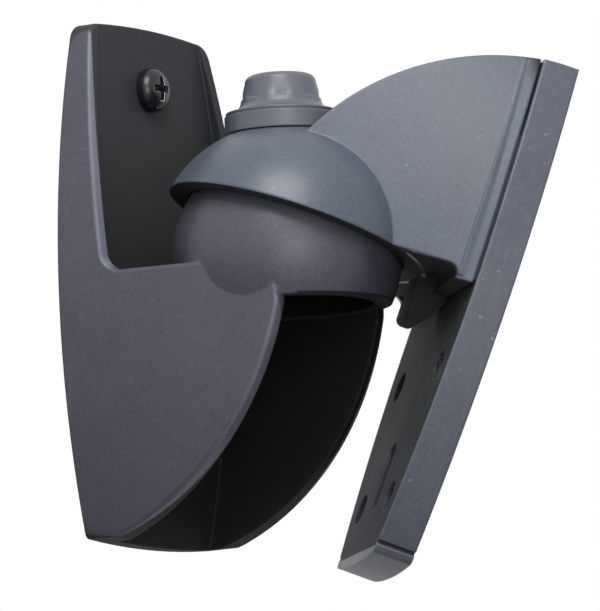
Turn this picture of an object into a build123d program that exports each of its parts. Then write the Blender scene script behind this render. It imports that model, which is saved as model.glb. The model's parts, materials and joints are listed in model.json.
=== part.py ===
"""Speaker wall bracket: a wall casting with a hollow ball, and a swivel arm that carries the speaker plate.

Frame: the wall plane is X = 0 with +X away from the wall, +Y across and +Z up; lengths in millimetres.
The arm is modelled in the turned and tilted position in which the bracket hangs.
"""
from build123d import *
from math import asin, cos, degrees, radians, sin, sqrt
import os

os.makedirs("parts", exist_ok=True)

# Plate outline shared by the wall plate and the speaker plate
plate_height = 113.0
plate_half_width = 30.5
plate_end_half_width = 23.5
wall_top_half_width = 22.4
plate_crown = 1.2
plate_corner = 4.5
foot_corner = 1.6

# Wall casting
back_wall = 4.2
side_wall = 3.0
cheek_root = 3.0
casting_depth = 54.0
front_half_width = 20.4
front_end_half_width = 20.2
flange_top_depth = 4.7
flange_low_depth = 10.0
flange_fillet = 4.5
cheek_drop = 2.2
cheek_reach = 52.0
cheek_foot = 4.0
cheek_corner = 9.0
cheek_arc_radius = 65.0
edge_round = 1.0

# Ball at the end of the wall casting
ball_radius = 25.0
ball_reach = 39.4
ball_rise = 2.8
ball_wall = 3.5
ball_floor_drop = 10.8

# Screws
upper_screw_inset = 12.4
lower_screw_inset = 20.5
screw_shank = 4.5
screw_hole = 5.0
screw_head = 9.8
screw_head_height = 4.0
screw_length = 17.0
screw_tip = 1.6
thread_depth = 0.5
head_band = 0.35
recess_span = 0.62
recess_width = 0.17
recess_floor = 0.34

# Position of the arm
swivel_angle = 46.0
tilt_angle = 20.9
tilt_up_limit = 6.0
tilt_down_limit = 24.0

# Swivel arm
joint_gap = 0.35
dome_radius = 29.6
dome_rim_height = 6.0
arm_seam = 36.0
arm_seam_half_width = 29.6
arm_seam_end_half_width = 23.2
arm_back_over = 1.6189
arm_back_half_width = 12.5
arm_back_end_half_width = 12.0
arm_wall = 2.2
arm_floor = 3.0
arm_end_wall = 4.0
arm_foot_drop = 3.0
arm_foot_round = 2.4
arm_arc_over = 0.1
seam_gap = 0.6
seam_inset = 0.8
slot_width = 7.0

# Lug under the arm
lug_inner = 28.0
lug_drop = 4.4
lug_half_width = 5.5
lug_slant = 4.0
lug_shoulder = 1.6
lug_round = 2.6

# Speaker plate
plate_thickness = 7.9
plate_web = 3.5
plate_rim = 3.5
plate_rib = 2.4
plate_over = 0.8
plate_wedge = 0.7
plate_foot_half_width = 19.0
groove_width = 0.9
groove_depth = 0.2
groove_rise = 2.2
plate_hole = 7.0
plate_hole_boss = 13.0
plate_hole_half_span = 19.0
plate_hole_draw = 5.0
plate_hole_drop_a = 14.5
plate_hole_inset_b = 12.5
plate_slot_width = 6.0
plate_slot_length = 16.0
plate_slot_inset = 18.5
plate_slot_rim = 2.5
plate_screw_rise_a = 18.0
plate_screw_inset_b = 14.5
plate_screw_shank = 5.0
plate_screw_head = 9.0
plate_screw_head_height = 3.0
plate_screw_boss = 10.0
plate_screw_length = 10.0
plate_screw_cover = 1.5

# Clamp stack on the bolt
bolt_diameter = 6.0
bolt_hole = 6.6
bolt_overrun = 1.6
hex_width = 10.0
bolt_head_height = 4.0
ball_washer_radius = 9.0
ball_washer_height = 5.0
spring_washer_radius = 5.5
spring_washer_height = 1.6
spring_washer_split = 0.8
skirt_radius = 12.5
skirt_height = 1.2
knob_gap = 0.3
knob_base_radius = 12.2
knob_base_band = 0.5
knob_head_radius = 8.8
knob_flat_radius = 8.35
knob_facets = 8
knob_facet_turn = -56.0
knob_flare = 3.2
knob_height = 8.8
knob_draft = 0.5
knob_top_round = 1.8
nut_height = 4.0
fit_gap = 0.1

# Points and planes derived from the sizes
ball_centre = Vector(ball_reach, 0, ball_rise)
turn = radians(swivel_angle)
tip = radians(tilt_angle)
forward = Vector(cos(tip) * cos(turn), cos(tip) * sin(turn), -sin(tip))
arm_up = Vector(sin(tip) * cos(turn), sin(tip) * sin(turn), cos(tip))
arm_frame = Plane(origin=ball_centre, x_dir=forward, z_dir=arm_up)
arm_side = Plane(origin=ball_centre, x_dir=forward, z_dir=-arm_frame.y_dir)
ball_side = Plane(origin=ball_centre, x_dir=(1, 0, 0), z_dir=(0, -1, 0))
upright = Axis(ball_centre, (0, 0, 1))
plate_top = plate_height / 2
screw_rise_upper = plate_top - upper_screw_inset
screw_rise_lower = lower_screw_inset - plate_top
arm_arc_radius = plate_top + arm_arc_over
arc_centre = arm_seam + plate_thickness
arc_start = arc_centre - sqrt(arm_arc_radius**2 - dome_rim_height**2)
arm_back = arm_back_over - arc_start
plate_screw_rise_b = plate_top - plate_screw_inset_b
plate_hole_drop_b = plate_top - plate_hole_inset_b
plate_slot_drop = plate_top - plate_slot_inset
past_side = plate_half_width * 1.2
plate_screw_places = [(0, plate_screw_rise_a), (0, plate_screw_rise_b)]
plate_hole_places = [
    (plate_hole_half_span, -plate_hole_drop_a),
    (-plate_hole_half_span, -plate_hole_drop_a),
    (plate_hole_half_span - plate_hole_draw, -plate_hole_drop_b),
    (plate_hole_draw - plate_hole_half_span, -plate_hole_drop_b),
]


def wall_section(depth):
    """Return the plane parallel to the wall at a depth in front of it."""
    return Plane.YZ.offset(depth)


def arm_section(reach):
    """Return the plane square to the arm at a reach from the ball centre."""
    return Plane(origin=ball_centre + forward * reach, x_dir=arm_frame.y_dir, z_dir=forward)


def arm_point(reach, side, rise):
    """Return a point given in the arm's own directions."""
    return arm_frame.from_local_coords(Vector(reach, side, rise))


def barrel_outline(mid, foot, head, head_corner, inset=0.0):
    """Draw a plate outline with bowed sides in the open sketch, its ends drawn in by an inset."""
    top = plate_top - inset
    with BuildLine() as outline:
        ThreePointArc((-head, top), (0, top + plate_crown), (head, top))
        ThreePointArc((head, top), (mid, 0), (foot, -top))
        ThreePointArc((foot, -top), (0, -top - plate_crown), (-foot, -top))
        ThreePointArc((-foot, -top), (-mid, 0), (-head, top))
    make_face(outline.edges())
    fillet(vertices().sort_by(Axis.Y)[:2], foot_corner)
    fillet(vertices().sort_by(Axis.Y)[-2:], head_corner)


def channel_outline(mid, foot, head):
    """Draw the cavity between two bowed walls, open past both ends, in the open sketch."""
    past = plate_top + plate_corner
    with BuildLine() as outline:
        ThreePointArc((head, plate_top), (mid, 0), (foot, -plate_top))
        Polyline((foot, -plate_top), (foot, -past), (-foot, -past), (-foot, -plate_top))
        ThreePointArc((-foot, -plate_top), (-mid, 0), (-head, plate_top))
        Polyline((-head, plate_top), (-head, past), (head, past), (head, plate_top))
    make_face(outline.edges())


def tapered(at_wall, at_front, depth):
    """Return the half width of the wall casting at a depth between wall and front."""
    return at_wall + (at_front - at_wall) * depth / casting_depth


def arm_tapered(at_seam, reach):
    """Return the half width of the arm at a reach between its back and the seam."""
    return arm_back_half_width + (at_seam - arm_back_half_width) * (reach + arm_back) / (arm_seam + arm_back)


# Wall casting: tapered body cut to the side profile, hollowed, then the ball
cheek_top = ball_rise - cheek_drop
flange_foot = cheek_top + flange_fillet
cheek_start = flange_low_depth + flange_fillet
body_top = plate_top + 2 * plate_crown
body_bottom = -plate_top - 1.2 * plate_crown
inner_radius = ball_radius - ball_wall
foot_wall = side_wall + cheek_root

with BuildPart() as wall_bracket:
    with BuildSketch(wall_section(0)):
        barrel_outline(plate_half_width, plate_end_half_width, wall_top_half_width, plate_corner)
    with BuildSketch(wall_section(casting_depth)):
        barrel_outline(front_half_width, front_end_half_width, front_end_half_width, plate_corner)
    loft(ruled=True)
    with BuildSketch(Plane.XZ):
        with BuildLine():
            Polyline((cheek_foot, body_bottom), (0, body_bottom), (0, body_top), (flange_top_depth, body_top),
                     (flange_low_depth, flange_foot))
            RadiusArc((flange_low_depth, flange_foot), (cheek_start, cheek_top), -flange_fillet)
            Line((cheek_start, cheek_top), (cheek_reach, cheek_top))
            RadiusArc((cheek_reach, cheek_top), (cheek_foot, body_bottom), cheek_arc_radius)
        make_face()
        fillet(vertices().sort_by(Axis.X)[-1], cheek_corner)
    extrude(amount=past_side, both=True, mode=Mode.INTERSECT)
    rims = edges().filter_by(lambda e: abs(e.center().Y) > front_end_half_width / 2)
    fillet(rims.filter_by(lambda e: min(v.X for v in e.vertices()) > flange_top_depth / 2), edge_round)
    with BuildSketch(wall_section(back_wall)):
        channel_outline(tapered(plate_half_width, front_half_width, back_wall) - side_wall,
                        tapered(plate_end_half_width, front_end_half_width, back_wall) - foot_wall,
                        tapered(wall_top_half_width, front_end_half_width, back_wall) - side_wall)
    with BuildSketch(wall_section(casting_depth)):
        channel_outline(front_half_width - side_wall, front_end_half_width - side_wall,
                        front_end_half_width - side_wall)
    loft(ruled=True, mode=Mode.SUBTRACT)
    with BuildSketch(ball_side):
        with BuildLine():
            CenterArc((0, 0), ball_radius, 90, -180)
            Line((0, -ball_radius), (0, ball_radius))
        make_face()
        with Locations((0, -ball_floor_drop)):
            Rectangle(2 * ball_radius, ball_radius, align=(Align.MIN, Align.MAX), mode=Mode.SUBTRACT)
    revolve(axis=upright)
    with BuildSketch(ball_side):
        with BuildLine():
            CenterArc((0, 0), inner_radius, 90, -180)
            Line((0, -inner_radius), (0, inner_radius))
        make_face()
        with Locations((0, -ball_floor_drop)):
            Rectangle(2 * ball_radius, ball_radius, align=(Align.MIN, Align.MAX), mode=Mode.SUBTRACT)
    revolve(axis=upright, mode=Mode.SUBTRACT)
    with BuildSketch(Plane(origin=ball_centre)):
        Circle(bolt_hole / 2)
    extrude(amount=ball_radius + ball_wall, mode=Mode.SUBTRACT)
    with BuildSketch(wall_section(0)):
        with Locations((0, screw_rise_upper), (0, screw_rise_lower)):
            Circle(screw_hole / 2)
    extrude(amount=back_wall * 2, mode=Mode.SUBTRACT)
wall_bracket.part.label = "wall_bracket"
export_step(wall_bracket.part, "parts/wall_bracket.step")


def pan_screw(seat, shank, neck_run, length, head, head_height):
    """Build a pan-head screw with a cross recess on the open part, its head seated on a plane."""
    neck = shank / 2 - thread_depth
    dome_rise = head_height * (1 - head_band)
    crown = (head**2 / 4 + dome_rise**2) / (2 * dome_rise)
    lean = asin(min(1, head / 2 / crown)) / 2
    with BuildSketch(Plane(origin=seat.origin, x_dir=seat.x_dir, z_dir=-seat.y_dir)) as profile:
        with BuildLine():
            Polyline((0, head_height), (0, -length), (neck, -length), (shank / 2, -length + screw_tip),
                     (shank / 2, -neck_run), (neck, -neck_run), (neck, 0), (head / 2, 0),
                     (head / 2, head_height * head_band))
            ThreePointArc((head / 2, head_height * head_band),
                          (crown * sin(lean), head_height - crown + crown * cos(lean)), (0, head_height))
        make_face()
    revolve(profile.sketch, axis=Axis(seat.origin, seat.z_dir))
    with BuildSketch(seat.offset(head_height * recess_floor)) as recess:
        Rectangle(head * recess_span, head * recess_width)
        Rectangle(head * recess_width, head * recess_span)
    extrude(recess.sketch, amount=head_height, mode=Mode.SUBTRACT)


with BuildPart() as upper_wall_screw:
    pan_screw(Plane(origin=(back_wall, 0, screw_rise_upper), x_dir=(0, 1, 0), z_dir=(1, 0, 0)),
              screw_shank, back_wall + thread_depth, screw_length, screw_head, screw_head_height)
upper_wall_screw.part.label = "upper_wall_screw"
export_step(upper_wall_screw.part, "parts/upper_wall_screw.step")

with BuildPart() as lower_wall_screw:
    pan_screw(Plane(origin=(back_wall, 0, screw_rise_lower), x_dir=(0, 1, 0), z_dir=(1, 0, 0)),
              screw_shank, back_wall + thread_depth, screw_length, screw_head, screw_head_height)
lower_wall_screw.part.label = "lower_wall_screw"
export_step(lower_wall_screw.part, "parts/lower_wall_screw.step")


def slot_end(lean):
    """Return the point past the dome that the bolt points at for a lean in degrees."""
    return (past_dome * sin(radians(lean)), past_dome * cos(radians(lean)))


def bolt_plane(lean):
    """Return the plane square to the bolt when it leans in the arm's slot by an angle in degrees."""
    bolt_dir = arm_up * cos(radians(lean)) + forward * sin(radians(lean))
    return Plane(origin=ball_centre, x_dir=arm_frame.y_dir, z_dir=bolt_dir)


def plate_screw_seat(rise):
    """Return the plane on the plate's web on which a plate screw seats."""
    return Plane(origin=arm_point(arm_seam + plate_web, 0, rise), x_dir=arm_frame.y_dir, z_dir=forward)


# Swivel arm: tapered fan, hollowed from above, with the dome, the lug and the screw bosses
socket_radius = ball_radius + joint_gap
past_dome = dome_radius + 2 * arm_wall
rim_reach = sqrt(dome_radius**2 - dome_rim_height**2)
rim_angle = degrees(asin(dome_rim_height / dome_radius))
arm_foot_rise = dome_rim_height - arm_foot_drop
arm_top = sqrt(arm_arc_radius**2 - plate_thickness**2)
end_inside = arm_seam - arm_end_wall
lug_outer = arm_seam - seam_gap
lug_foot = lug_outer - lug_slant - lug_inner
lug_root = dome_rim_height + arm_floor
floor_half = arm_tapered(arm_seam_half_width, 0) - arm_wall / 2
floor_end_half = arm_tapered(arm_seam_half_width, end_inside) - arm_wall / 2

with BuildPart() as swivel_arm:
    with BuildSketch(arm_section(arm_seam)):
        barrel_outline(arm_seam_half_width, arm_seam_end_half_width, arm_seam_end_half_width, foot_corner)
    with BuildSketch(arm_section(-arm_back)):
        barrel_outline(arm_back_half_width, arm_back_end_half_width, arm_back_end_half_width, foot_corner)
    loft(ruled=True)
    with BuildSketch(arm_side):
        with BuildLine():
            Polyline((arc_start, dome_rim_height), (end_inside, dome_rim_height), (end_inside, arm_foot_rise),
                     (arm_seam, arm_foot_rise), (arm_seam, arm_top))
            ThreePointArc((arm_seam, arm_top),
                          (arc_centre - arm_arc_radius * sqrt(0.5), arm_arc_radius * sqrt(0.5)),
                          (arc_start, dome_rim_height))
        make_face()
        inner_corner = vertices().sort_by_distance((end_inside, dome_rim_height))[0]
        fillet(inner_corner, min(arm_foot_round, arm_foot_drop * 0.9))
    extrude(amount=past_side, both=True, mode=Mode.INTERSECT)
    with BuildSketch(arm_section(arm_seam)):
        Rectangle(4 * plate_half_width, 2 * plate_height)
    extrude(amount=-seam_gap, mode=Mode.SUBTRACT)
    with BuildSketch(arm_section(arm_seam)):
        barrel_outline(arm_seam_half_width - seam_inset, arm_seam_end_half_width - seam_inset,
                       arm_seam_end_half_width - seam_inset, foot_corner)
        with Locations((0, (arm_top + arm_foot_rise) / 2)):
            Rectangle(4 * plate_half_width, arm_top - arm_foot_rise - 2 * seam_inset, mode=Mode.INTERSECT)
    extrude(amount=-arm_end_wall)
    with BuildSketch(arm_section(end_inside)):
        channel_outline(arm_tapered(arm_seam_half_width, end_inside) - arm_wall,
                        arm_tapered(arm_seam_end_half_width, end_inside) - arm_wall,
                        arm_tapered(arm_seam_end_half_width, end_inside) - arm_wall)
    with BuildSketch(arm_section(-arm_back)):
        channel_outline(arm_back_half_width - arm_wall, arm_back_end_half_width - arm_wall,
                        arm_back_end_half_width - arm_wall)
    loft(ruled=True, mode=Mode.SUBTRACT)
    with BuildSketch(arm_frame.offset(dome_rim_height)):
        with BuildLine():
            Polyline((0, -floor_half), (end_inside, -floor_end_half), (end_inside, floor_end_half),
                     (0, floor_half), (0, -floor_half))
        make_face()
    extrude(amount=arm_floor)
    with BuildSketch(arm_side):
        with BuildLine():
            Polyline((lug_inner, lug_root), (lug_inner, -lug_drop), (lug_inner + lug_foot, -lug_drop),
                     (lug_outer, lug_shoulder), (lug_outer, lug_root), (lug_inner, lug_root))
        make_face()
        fillet(vertices().sort_by(Axis.Y)[:2], min(lug_round, lug_foot * 0.45))
    extrude(amount=lug_half_width, both=True)
    with BuildSketch(arm_section(end_inside)):
        with Locations(*plate_screw_places):
            Circle(plate_screw_boss / 2)
    extrude(amount=-(plate_screw_length - plate_web - arm_end_wall + plate_screw_cover))
    with BuildSketch(arm_side):
        with BuildLine():
            CenterArc((0, 0), dome_radius, rim_angle, 90 - rim_angle)
            Polyline((0, dome_radius), (0, dome_rim_height), (rim_reach, dome_rim_height))
        make_face()
    revolve(axis=Axis(ball_centre, arm_up))
    with BuildSketch(ball_side):
        with BuildLine():
            CenterArc((0, 0), socket_radius, -90, 180)
            Line((0, socket_radius), (0, -socket_radius))
        make_face()
    revolve(axis=upright, mode=Mode.SUBTRACT)
    with BuildSketch(arm_side):
        with BuildLine():
            Polyline((0, 0), slot_end(-tilt_down_limit), slot_end(-tilt_down_limit / 2),
                     slot_end(tilt_up_limit), (0, 0))
        make_face()
    extrude(amount=slot_width / 2, both=True, mode=Mode.SUBTRACT)
    with BuildSketch(bolt_plane(-tilt_down_limit)):
        Circle(slot_width / 2)
    extrude(amount=past_dome, mode=Mode.SUBTRACT)
    with BuildSketch(bolt_plane(tilt_up_limit)):
        Circle(slot_width / 2)
    extrude(amount=past_dome, mode=Mode.SUBTRACT)
    with BuildSketch(arm_section(arm_seam)):
        with Locations(*plate_screw_places):
            Circle(plate_screw_shank / 2 + fit_gap / 2)
    extrude(amount=-(plate_screw_length - plate_web + plate_screw_cover / 3), mode=Mode.SUBTRACT)
swivel_arm.part.label = "swivel_arm"
export_step(swivel_arm.part, "parts/swivel_arm.step")

# Speaker plate: its head follows the fan, its back thickens below the arm, its front is hollow
plate_back = arm_seam - plate_wedge
plate_foot = -plate_top - plate_over
plate_below = plate_foot - 2 * plate_crown
head_angle = asin(plate_thickness / arm_arc_radius) / 2
groove_floor = plate_foot_half_width - groove_depth

with BuildPart() as speaker_plate:
    with BuildSketch(arm_section(plate_back)):
        barrel_outline(plate_half_width, plate_foot_half_width, plate_end_half_width, foot_corner,
                       -plate_over)
    extrude(amount=plate_thickness + plate_wedge)
    with BuildSketch(arm_side):
        with BuildLine():
            Polyline((arc_centre, arm_arc_radius), (arc_centre, plate_below), (plate_back, plate_below),
                     (plate_back, plate_foot), (arm_seam, arm_foot_rise), (arm_seam, arm_top))
            ThreePointArc((arm_seam, arm_top),
                          (arc_centre - arm_arc_radius * sin(head_angle), arm_arc_radius * cos(head_angle)),
                          (arc_centre, arm_arc_radius))
        make_face()
    extrude(amount=past_side, both=True, mode=Mode.INTERSECT)
    with BuildSketch(arm_section(arm_seam + plate_web)):
        barrel_outline(plate_half_width - plate_rim, plate_foot_half_width - plate_rim,
                       plate_end_half_width - plate_rim, foot_corner, plate_rim)
    extrude(amount=plate_thickness, mode=Mode.SUBTRACT)
    with BuildSketch(arm_section(arm_seam)):
        with Locations(*plate_hole_places):
            Circle(plate_hole_boss / 2)
        with Locations((0, -plate_slot_drop)):
            SlotOverall(plate_slot_length + 2 * plate_slot_rim, plate_slot_width + 2 * plate_slot_rim,
                        rotation=90)
        Rectangle(plate_half_width * 2 - plate_rim, plate_rib)
    extrude(amount=plate_thickness)
    with BuildSketch(arm_section(plate_back)):
        with Locations(*plate_hole_places):
            Circle(plate_hole / 2)
        with Locations((0, -plate_slot_drop)):
            SlotOverall(plate_slot_length, plate_slot_width, rotation=90)
        with Locations(*plate_screw_places):
            Circle(plate_screw_shank / 2 + 2 * fit_gap)
    extrude(amount=plate_thickness + plate_wedge, mode=Mode.SUBTRACT)
    for side in (1, -1):
        with BuildSketch(arm_side.offset(side * groove_floor)):
            with Locations((arm_seam, plate_foot + groove_rise)):
                Rectangle(4 * plate_thickness, groove_width)
        extrude(amount=side * past_side, mode=Mode.SUBTRACT)
speaker_plate.part.label = "speaker_plate"
export_step(speaker_plate.part, "parts/speaker_plate.step")

with BuildPart() as upper_plate_screw:
    pan_screw(plate_screw_seat(plate_screw_rise_b), plate_screw_shank, plate_web, plate_screw_length,
              plate_screw_head, plate_screw_head_height)
upper_plate_screw.part.label = "upper_plate_screw"
export_step(upper_plate_screw.part, "parts/upper_plate_screw.step")

with BuildPart() as lower_plate_screw:
    pan_screw(plate_screw_seat(plate_screw_rise_a), plate_screw_shank, plate_web, plate_screw_length,
              plate_screw_head, plate_screw_head_height)
lower_plate_screw.part.label = "lower_plate_screw"
export_step(lower_plate_screw.part, "parts/lower_plate_screw.step")

# Clamp stack: bolt and washers inside the ball, slide washer and knob above the dome
ball_washer_seat = inner_radius - ball_washer_height
bolt_seat = ball_washer_seat - spring_washer_height
seat_radius = inner_radius - fit_gap
seat_rise = sqrt(seat_radius**2 - ball_washer_radius**2)
bore_rise = sqrt(seat_radius**2 - bolt_hole**2 / 4)
skirt_under = dome_radius + knob_gap
skirt_rim = sqrt(skirt_under**2 - skirt_radius**2)
skirt_bore = sqrt(skirt_under**2 - bolt_hole**2 / 4)
skirt_top = skirt_under + skirt_height
knob_foot = skirt_top + knob_gap
knob_top = knob_foot + knob_height
bolt_end = knob_foot + nut_height + bolt_overrun

with BuildPart() as ball_washer:
    with BuildSketch(ball_side):
        with BuildLine():
            Polyline((ball_washer_radius, seat_rise), (ball_washer_radius, ball_washer_seat),
                     (bolt_hole / 2, ball_washer_seat), (bolt_hole / 2, bore_rise))
            RadiusArc((ball_washer_radius, seat_rise), (bolt_hole / 2, bore_rise), -seat_radius)
        make_face()
    revolve(axis=upright)
ball_washer.part.label = "ball_washer"
export_step(ball_washer.part, "parts/ball_washer.step")

with BuildPart() as spring_washer:
    with BuildSketch(Plane(origin=ball_centre + Vector(0, 0, bolt_seat))):
        Circle(spring_washer_radius)
        Circle(bolt_hole / 2, mode=Mode.SUBTRACT)
        with Locations((spring_washer_radius, 0)):
            Rectangle(2 * spring_washer_radius - bolt_hole / 2, spring_washer_split, mode=Mode.SUBTRACT)
    extrude(amount=spring_washer_height)
spring_washer.part.label = "spring_washer"
export_step(spring_washer.part, "parts/spring_washer.step")

with BuildPart() as clamp_bolt:
    with BuildSketch(Plane(origin=ball_centre + Vector(0, 0, bolt_seat))):
        RegularPolygon(hex_width / 2, 6, major_radius=False)
    extrude(amount=-bolt_head_height)
    with BuildSketch(Plane(origin=ball_centre + Vector(0, 0, bolt_seat))):
        Circle(bolt_diameter / 2)
    extrude(amount=bolt_end - bolt_seat)
    chamfer(clamp_bolt.edges().sort_by(Axis.Z)[-1], thread_depth)
clamp_bolt.part.label = "clamp_bolt"
export_step(clamp_bolt.part, "parts/clamp_bolt.step")

with BuildPart() as slide_washer:
    with BuildSketch(ball_side):
        with BuildLine():
            Polyline((bolt_hole / 2, skirt_bore), (bolt_hole / 2, skirt_top), (skirt_radius, skirt_top),
                     (skirt_radius, skirt_rim))
            RadiusArc((skirt_radius, skirt_rim), (bolt_hole / 2, skirt_bore), -skirt_under)
        make_face()
    revolve(axis=upright)
slide_washer.part.label = "slide_washer"
export_step(slide_washer.part, "parts/slide_washer.step")

with BuildPart() as clamp_knob:
    with BuildSketch(ball_side):
        with BuildLine():
            Polyline((0, knob_top), (0, knob_foot), (knob_base_radius, knob_foot),
                     (knob_base_radius, knob_foot + knob_base_band))
            ThreePointArc((knob_base_radius, knob_foot + knob_base_band),
                          (knob_head_radius + (knob_base_radius - knob_head_radius) * (1 - sqrt(0.5)),
                           knob_foot + knob_flare - (knob_flare - knob_base_band) * sqrt(0.5)),
                          (knob_head_radius, knob_foot + knob_flare))
            Polyline((knob_head_radius, knob_foot + knob_flare), (knob_head_radius - knob_draft, knob_top),
                     (0, knob_top))
        make_face()
        fillet(vertices().sort_by_distance((knob_head_radius - knob_draft, knob_top))[0], knob_top_round)
    revolve(axis=upright)
    with BuildSketch(Plane(origin=ball_centre + Vector(0, 0, knob_foot + knob_flare))):
        Circle(knob_base_radius)
        RegularPolygon(knob_flat_radius, knob_facets, major_radius=False, rotation=knob_facet_turn,
                       mode=Mode.SUBTRACT)
    extrude(amount=knob_height, mode=Mode.SUBTRACT)
    with BuildSketch(Plane(origin=ball_centre + Vector(0, 0, knob_foot))):
        RegularPolygon(hex_width / 2 + fit_gap, 6, major_radius=False)
    extrude(amount=nut_height + fit_gap, mode=Mode.SUBTRACT)
    with BuildSketch(Plane(origin=ball_centre + Vector(0, 0, knob_foot))):
        Circle(bolt_hole / 2)
    extrude(amount=nut_height + 1.25 * bolt_overrun, mode=Mode.SUBTRACT)
clamp_knob.part.label = "clamp_knob"
export_step(clamp_knob.part, "parts/clamp_knob.step")

with BuildPart() as knob_nut:
    with BuildSketch(Plane(origin=ball_centre + Vector(0, 0, knob_foot))):
        RegularPolygon(hex_width / 2, 6, major_radius=False)
        Circle(bolt_diameter / 2 + fit_gap / 2, mode=Mode.SUBTRACT)
    extrude(amount=nut_height)
knob_nut.part.label = "knob_nut"
export_step(knob_nut.part, "parts/knob_nut.step")
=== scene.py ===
"""Looks of the speaker wall bracket: its finishes, detailed screws and clamp knob, and the studio.

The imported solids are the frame. The castings and the plate keep their own shapes and get their finishes here;
the screws and the knob are made again with their threads, recesses and facets. Lengths are in metres.
"""

import json
import logging
import math
from dataclasses import dataclass
from enum import Enum
from typing import Any, Sequence, Union

import bmesh
import bpy
from mathutils import Matrix, Vector

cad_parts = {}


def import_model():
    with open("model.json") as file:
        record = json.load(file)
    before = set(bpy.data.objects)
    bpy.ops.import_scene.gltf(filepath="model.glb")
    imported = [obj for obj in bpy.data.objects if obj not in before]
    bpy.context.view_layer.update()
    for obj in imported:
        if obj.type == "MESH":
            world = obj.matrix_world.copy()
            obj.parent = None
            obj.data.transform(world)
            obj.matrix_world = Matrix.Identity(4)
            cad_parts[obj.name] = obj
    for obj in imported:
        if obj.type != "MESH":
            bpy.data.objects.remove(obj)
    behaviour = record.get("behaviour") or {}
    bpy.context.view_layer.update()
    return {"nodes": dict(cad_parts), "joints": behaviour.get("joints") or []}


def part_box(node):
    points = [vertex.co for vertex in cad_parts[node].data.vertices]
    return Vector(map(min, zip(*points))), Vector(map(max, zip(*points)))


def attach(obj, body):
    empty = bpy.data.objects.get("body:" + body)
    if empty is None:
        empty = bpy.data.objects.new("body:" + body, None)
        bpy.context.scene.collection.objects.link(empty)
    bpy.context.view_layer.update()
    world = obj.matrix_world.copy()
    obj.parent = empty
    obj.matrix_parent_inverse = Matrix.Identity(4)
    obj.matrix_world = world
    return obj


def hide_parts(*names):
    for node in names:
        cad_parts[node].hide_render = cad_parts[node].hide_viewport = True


log = logging.getLogger("bracket")

MM = 0.001

# The photograph's size in pixels, and the arm's pose in it in degrees
PHOTO_WIDTH = 600
PHOTO_HEIGHT = 611
ARM_SWIVEL = 46.0
ARM_TILT = 20.9

# Sizes and colours that are shared; no piece reaches as far as FAR
CASTING_HALF_HEIGHT = 56.5 * MM
FAR = 1.0
KNOB_COLOUR = (0.14, 0.15, 0.18)
WHITE = (1.0, 1.0, 1.0, 1.0)

# Shader values: the mean of a noise, and how far a softened normal turns where an edge starts and is full
NOISE_MEAN = 0.5
EDGE_SAMPLES = 6
EDGE_SPAN = (0.015, 0.22)

ORIGIN = Vector((0.0, 0.0, 0.0))
UP = Vector((0.0, 0.0, 1.0))
FROM_WALL = Vector((1.0, 0.0, 0.0))

Number = Union[int, float]
Colour = tuple[float, float, float]
Span = tuple[float, float]


class Body(Enum):
    """The bodies that new pieces ride on."""

    WALL = "wall"
    ARM = "arm"
    KNOB = "knob"


class Slot(Enum):
    """Names of two of the record's material slots."""

    KNOB_PLASTIC = "knob_plastic"
    SCREW_STEEL = "screw_steel"


class Value:
    """A shader socket's number, on which Python's operators add Math nodes."""

    def __init__(self, graph: "Graph", socket: bpy.types.NodeSocket) -> None:
        """Keep the socket and the graph that it belongs to."""
        self.graph = graph
        self.socket = socket

    def _math(self, operation: str, left: "Operand", right: "Operand") -> "Value":
        """Add one Math node.

        Args:
            operation: The Math node's operation.
            left: First operand.
            right: Second operand.

        Returns:
            The node's result.
        """
        return self.graph.node("ShaderNodeMath", {"operation": operation}, {0: left, 1: right}).out("Value")

    def __add__(self, other: "Operand") -> "Value":
        """Return the sum."""
        return self._math("ADD", self, other)

    def __radd__(self, other: "Operand") -> "Value":
        """Return the sum with a number on the left."""
        return self._math("ADD", other, self)

    def __sub__(self, other: "Operand") -> "Value":
        """Return the difference."""
        return self._math("SUBTRACT", self, other)

    def __rsub__(self, other: "Operand") -> "Value":
        """Return the difference from a number on the left."""
        return self._math("SUBTRACT", other, self)

    def __mul__(self, other: "Operand") -> "Value":
        """Return the product."""
        return self._math("MULTIPLY", self, other)

    def __rmul__(self, other: "Operand") -> "Value":
        """Return the product with a number on the left."""
        return self._math("MULTIPLY", other, self)

    def __gt__(self, other: "Operand") -> "Value":
        """Return one where this is the greater, and zero elsewhere."""
        return self._math("GREATER_THAN", self, other)

    def __lt__(self, other: "Operand") -> "Value":
        """Return one where this is the smaller, and zero elsewhere."""
        return self._math("LESS_THAN", self, other)

    def __abs__(self) -> "Value":
        """Return the size without its sign."""
        return self._math("ABSOLUTE", self, 0.0)

    def most(self, other: "Operand") -> "Value":
        """Return the greater of two."""
        return self._math("MAXIMUM", self, other)

    def ramp(self, low: Number, high: Number) -> "Value":
        """Return a smooth rise from zero at one value to one at another.

        Args:
            low: Where the rise starts.
            high: Where it ends.

        Returns:
            The risen value, held between zero and one.
        """
        settings = {"interpolation_type": "SMOOTHSTEP"}
        sockets = {"Value": self, "From Min": low, "From Max": high}
        return self.graph.node("ShaderNodeMapRange", settings, sockets).out("Result")


Operand = Union[Value, Number]


class Node:
    """A shader node whose outputs are read by name."""

    def __init__(self, graph: "Graph", node: bpy.types.Node) -> None:
        """Keep the node and its graph."""
        self.graph = graph
        self.node = node

    def out(self, name: str) -> Value:
        """Return the shown output of that name."""
        return Value(self.graph, next(s for s in self.node.outputs if s.enabled and s.name == name))


@dataclass(frozen=True)
class Pattern:
    """A noise pattern: its repeats in a metre, its octaves and the weight of the finer ones."""

    scale: float
    detail: float = 2.0
    roughness: float = 0.5


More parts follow.
